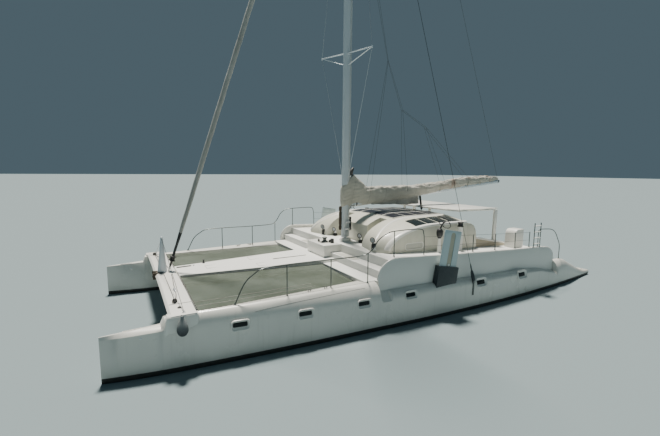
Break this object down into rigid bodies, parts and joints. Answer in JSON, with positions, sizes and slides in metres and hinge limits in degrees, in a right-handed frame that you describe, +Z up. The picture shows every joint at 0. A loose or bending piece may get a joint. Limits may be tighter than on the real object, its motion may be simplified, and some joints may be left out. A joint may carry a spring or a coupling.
{
  "type": "sailing catamaran",
  "caption": "Sailing catamaran at rest: twin hulls, wing mast, stowed sails, bow nets, domed coachroof, side boards and rigid cockpit roof.",
  "frame": {"origin": "on the centre plane amidships, at the waterline it floats to", "axes": "+X to the bow, +Y to port, +Z up"},
  "size_m": [20.55, 9.0534, 28.85],
  "materials": {
    "gelcoat": "cream white gelcoat, glossy",
    "deck_paint": "cream white deck paint, matt",
    "black": "black, satin",
    "board_paint": "pale blue-green paint, satin",
    "stainless": "polished stainless steel",
    "spar_paint": "pale blue-grey paint, satin",
    "net": "woven net, grey-brown",
    "sailcloth": "grey-beige canvas, weathered",
    "glazing": "smoked acrylic",
    "bronze": "bronze, satin",
    "cushion": "marine fabric, matt",
    "solar": "dark blue cells under gloss",
    "antifouling": "black antifouling, matt"
  },
  "bodies": {
    "boat": {"hull_port": "gelcoat", "bulwark_port": "gelcoat", "roof_glazing_port": "glazing", "side_window_port": "glazing", "rear_window_port": "glazing", "board_case_port": "black", "drive_leg_port": "antifouling", "bow_net_port": "net", "cap_shroud_port": "stainless", "helm_console_port": "black", "cockpit_cushion_port": "cushion", "stern_seat_port": "gelcoat", "side_rail_port": "stainless", "stern_rail_port": "stainless", "winch_pedestal_port": "gelcoat", "hull_starboard": "gelcoat", "bulwark_starboard": "gelcoat", "roof_glazing_starboard": "glazing", "side_window_starboard": "glazing", "rear_window_starboard": "glazing", "board_case_starboard": "black", "drive_leg_starboard": "antifouling", "bow_net_starboard": "net", "cap_shroud_starboard": "stainless", "helm_console_starboard": "black", "cockpit_cushion_starboard": "cushion", "stern_seat_starboard": "gelcoat", "side_rail_starboard": "stainless", "stern_rail_starboard": "stainless", "winch_pedestal_starboard": "gelcoat", "bridge_deck": "deck_paint", "coachroof": "gelcoat", "forward_beam": "gelcoat", "striker_post": "spar_paint", "walkway": "deck_paint", "windlass_locker": "gelcoat", "mast_step": "gelcoat", "hounds_collar": "stainless", "hard_bimini": "gelcoat", "solar_array": "solar", "ladder_bracket": "stainless", "bow_fender": "black"},
    "mast": {"mast": "spar_paint"},
    "boom": {"boom": "spar_paint", "sail_cover": "sailcloth"},
    "headsail": {"furled_headsail": "sailcloth"},
    "windlass_drum": {"windlass": "stainless"},
    "door": {"companionway_door": "glazing"},
    "ladder": {"boarding_ladder": "stainless"},
    "board_port": {"side_board_port": "board_paint"},
    "rudder_blade_port": {"rudder_port": "antifouling"},
    "screw_port": {"propeller_port": "bronze"},
    "wheel_port": {"helm_wheel_port": "black"},
    "winch_port": {"deck_winch_port": "black"},
    "board_starboard": {"side_board_starboard": "board_paint"},
    "rudder_blade_starboard": {"rudder_starboard": "antifouling"},
    "screw_starboard": {"propeller_starboard": "bronze"},
    "wheel_starboard": {"helm_wheel_starboard": "black"},
    "winch_starboard": {"deck_winch_starboard": "black"}
  },
  "joints": [
    {"name": "mast_turn", "type": "hinge", "parent": "boat", "child": "mast", "pos_m": [1.46, 0, 2.145], "axis": [0, 0, 1], "range_deg": [-50, 10]},
    {"name": "boom_swing", "type": "hinge", "parent": "mast", "child": "boom", "pos_m": [1.15028, -0.11273, 3.54], "axis": [0, 0, 1], "range_deg": [-5, 45]},
    {"name": "headsail_furl", "type": "hinge", "parent": "boat", "child": "headsail", "pos_m": [8.4, 0, 1.605], "axis": [-0.3153, 0, 0.949], "continuous": true},
    {"name": "windlass_turn", "type": "hinge", "parent": "boat", "child": "windlass_drum", "pos_m": [2.48, 0.06, 2.07], "axis": [0, 0, 1], "continuous": true},
    {"name": "door_slide", "type": "slide", "parent": "boat", "child": "door", "axis": [0, 1, 0], "range_m": [0, 0.86]},
    {"name": "ladder_fold", "type": "hinge", "parent": "boat", "child": "ladder", "pos_m": [-5.29, 4.22597, 1.88], "axis": [-1, 0, 0], "range_deg": [0, 162]},
    {"name": "board_port_slide", "type": "slide", "parent": "boat", "child": "board_port", "axis": [0.1719, 0, -0.9851], "range_m": [0, 1.2]},
    {"name": "rudder_port_turn", "type": "hinge", "parent": "boat", "child": "rudder_blade_port", "pos_m": [-9.25, 3.6, -0.3], "axis": [0, 0, 1], "range_deg": [-35, 35]},
    {"name": "helm_port_turn", "type": "hinge", "parent": "boat", "child": "wheel_port", "pos_m": [-0.9, 3.25, 3.06], "axis": [-0.7915, 0, 0.6112], "range_deg": [-360, 360]},
    {"name": "screw_port_turn", "type": "hinge", "parent": "boat", "child": "screw_port", "pos_m": [-7.65, 3.6, -0.85], "axis": [1, 0, 0], "continuous": true},
    {"name": "winch_port_turn", "type": "hinge", "parent": "boat", "child": "winch_port", "pos_m": [-1.89, 3.18, 2.83], "axis": [0, 0, 1], "continuous": true},
    {"name": "board_starboard_slide", "type": "slide", "parent": "boat", "child": "board_starboard", "axis": [0.1719, 0, -0.9851], "range_m": [0, 1.2]},
    {"name": "rudder_starboard_turn", "type": "hinge", "parent": "boat", "child": "rudder_blade_starboard", "pos_m": [-9.25, -3.6, -0.3], "axis": [0, 0, 1], "range_deg": [-35, 35]},
    {"name": "helm_starboard_turn", "type": "hinge", "parent": "boat", "child": "wheel_starboard", "pos_m": [-0.9, -3.25, 3.06], "axis": [-0.7915, 0, 0.6112], "range_deg": [-360, 360]},
    {"name": "screw_starboard_turn", "type": "hinge", "parent": "boat", "child": "screw_starboard", "pos_m": [-7.65, -3.6, -0.85], "axis": [1, 0, 0], "continuous": true},
    {"name": "winch_starboard_turn", "type": "hinge", "parent": "boat", "child": "winch_starboard", "pos_m": [-1.89, -3.18, 2.83], "axis": [0, 0, 1], "continuous": true}
  ],
  "couplings": [
    {"joint": "rudder_starboard_turn", "follows": "rudder_port_turn", "ratio": 1},
    {"joint": "helm_port_turn", "follows": "rudder_port_turn", "ratio": 10},
    {"joint": "helm_starboard_turn", "follows": "rudder_port_turn", "ratio": 10}
  ]
}
